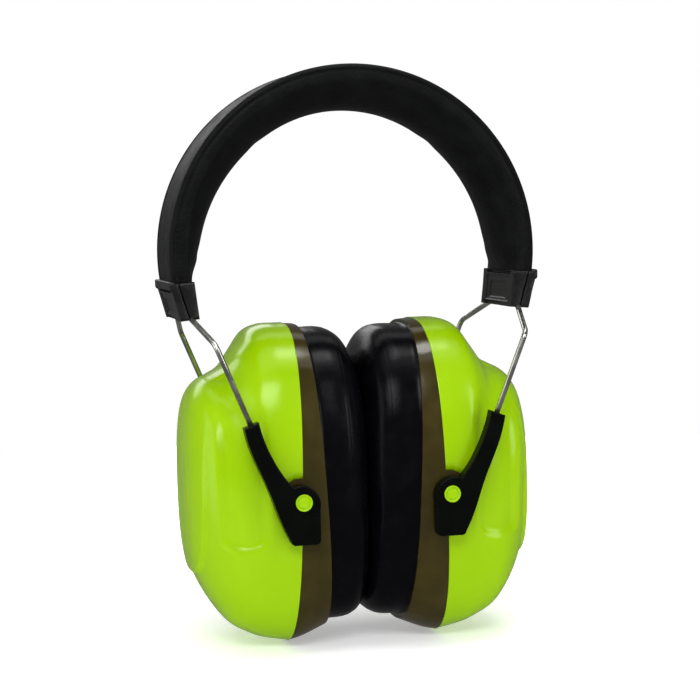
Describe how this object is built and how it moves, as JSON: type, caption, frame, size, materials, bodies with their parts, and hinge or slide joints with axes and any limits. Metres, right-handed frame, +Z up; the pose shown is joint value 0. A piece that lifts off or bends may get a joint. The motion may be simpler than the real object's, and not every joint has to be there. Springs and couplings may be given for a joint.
{
  "type": "earmuff hearing protector",
  "caption": "Over-head earmuffs: padded sprung headband, bare steel wires in sliding arms, and deep two-part cups with cushions that tilt on studs.",
  "frame": {"origin": "middle of the headband's underside, where it rests on the crown of the head", "axes": "+X towards one ear, -Y to the front, +Z up"},
  "size_m": [0.1316, 0.0834, 0.2019],
  "materials": {
    "band_leather": "matt grained synthetic leather, sewn",
    "pad_foam": "open-cell foam",
    "spine_plastic": "flexible moulded plastic",
    "spring_steel": "drawn spring steel wire",
    "clip_plastic": "fine textured moulding",
    "arm_plastic": "satin moulding",
    "lime_shell": "high gloss",
    "lime_stud": "gloss",
    "olive_ring": "satin moulding",
    "plate_plastic": "moulded",
    "cushion_leather": "smooth glossy synthetic leather",
    "cushion_foam": "soft foam",
    "liner_foam": "open-cell acoustic foam"
  },
  "bodies": {
    "headband_crown": {"crown_spine": "spine_plastic", "crown_foam": "pad_foam", "crown_cover": "band_leather", "crown_spring_wires": "spring_steel"},
    "left_side": {"left_headband_spine": "spine_plastic", "left_headband_foam": "pad_foam", "left_headband_cover": "band_leather", "left_spring_wires": "spring_steel", "left_clip_outer": "clip_plastic", "left_clip_inner": "clip_plastic"},
    "left_yoke": {"left_front_arm": "arm_plastic", "left_rear_arm": "arm_plastic"},
    "left_cup": {"left_outer_shell": "lime_shell", "left_mounting_ring": "olive_ring", "left_cushion_plate": "plate_plastic", "left_cushion_skin": "cushion_leather", "left_cushion_foam": "cushion_foam", "left_foam_liner": "liner_foam", "left_pivot_studs": "lime_stud"},
    "right_side": {"right_headband_spine": "spine_plastic", "right_headband_foam": "pad_foam", "right_headband_cover": "band_leather", "right_spring_wires": "spring_steel", "right_clip_outer": "clip_plastic", "right_clip_inner": "clip_plastic"},
    "right_yoke": {"right_front_arm": "arm_plastic", "right_rear_arm": "arm_plastic"},
    "right_cup": {"right_outer_shell": "lime_shell", "right_mounting_ring": "olive_ring", "right_cushion_plate": "plate_plastic", "right_cushion_skin": "cushion_leather", "right_cushion_foam": "cushion_foam", "right_foam_liner": "liner_foam", "right_pivot_studs": "lime_stud"}
  },
  "joints": [
    {"name": "left_band_flex", "type": "hinge", "parent": "headband_crown", "child": "left_side", "pos_m": [-0.02435, 0, 0.01027], "axis": [0, 1, 0], "range_deg": [0, 28], "stiffness_Nm_per_rad": 2.3, "springref_deg": -11.46},
    {"name": "right_band_flex", "type": "hinge", "parent": "headband_crown", "child": "right_side", "pos_m": [0.02435, 0, 0.01027], "axis": [0, -1, 0], "range_deg": [0, 28], "stiffness_Nm_per_rad": 2.3, "springref_deg": -11.46},
    {"name": "left_height", "type": "slide", "parent": "left_side", "child": "left_yoke", "axis": [-0.3746, 0, 0.9272], "range_m": [0, 0.01]},
    {"name": "right_height", "type": "slide", "parent": "right_side", "child": "right_yoke", "axis": [0.3746, 0, 0.9272], "range_m": [0, 0.01]},
    {"name": "left_cup_tilt", "type": "hinge", "parent": "left_yoke", "child": "left_cup", "pos_m": [-0.0259, 0, -0.1333], "axis": [0, -1, 0], "range_deg": [0, 18.2]},
    {"name": "right_cup_tilt", "type": "hinge", "parent": "right_yoke", "child": "right_cup", "pos_m": [0.0259, 0, -0.1333], "axis": [0, 1, 0], "range_deg": [0, 18.2]}
  ],
  "couplings": [
    {"joint": "right_band_flex", "follows": "left_band_flex", "ratio": 1},
    {"joint": "left_cup_tilt", "follows": "left_band_flex", "ratio": 0.65},
    {"joint": "right_cup_tilt", "follows": "left_band_flex", "ratio": 0.65}
  ]
}
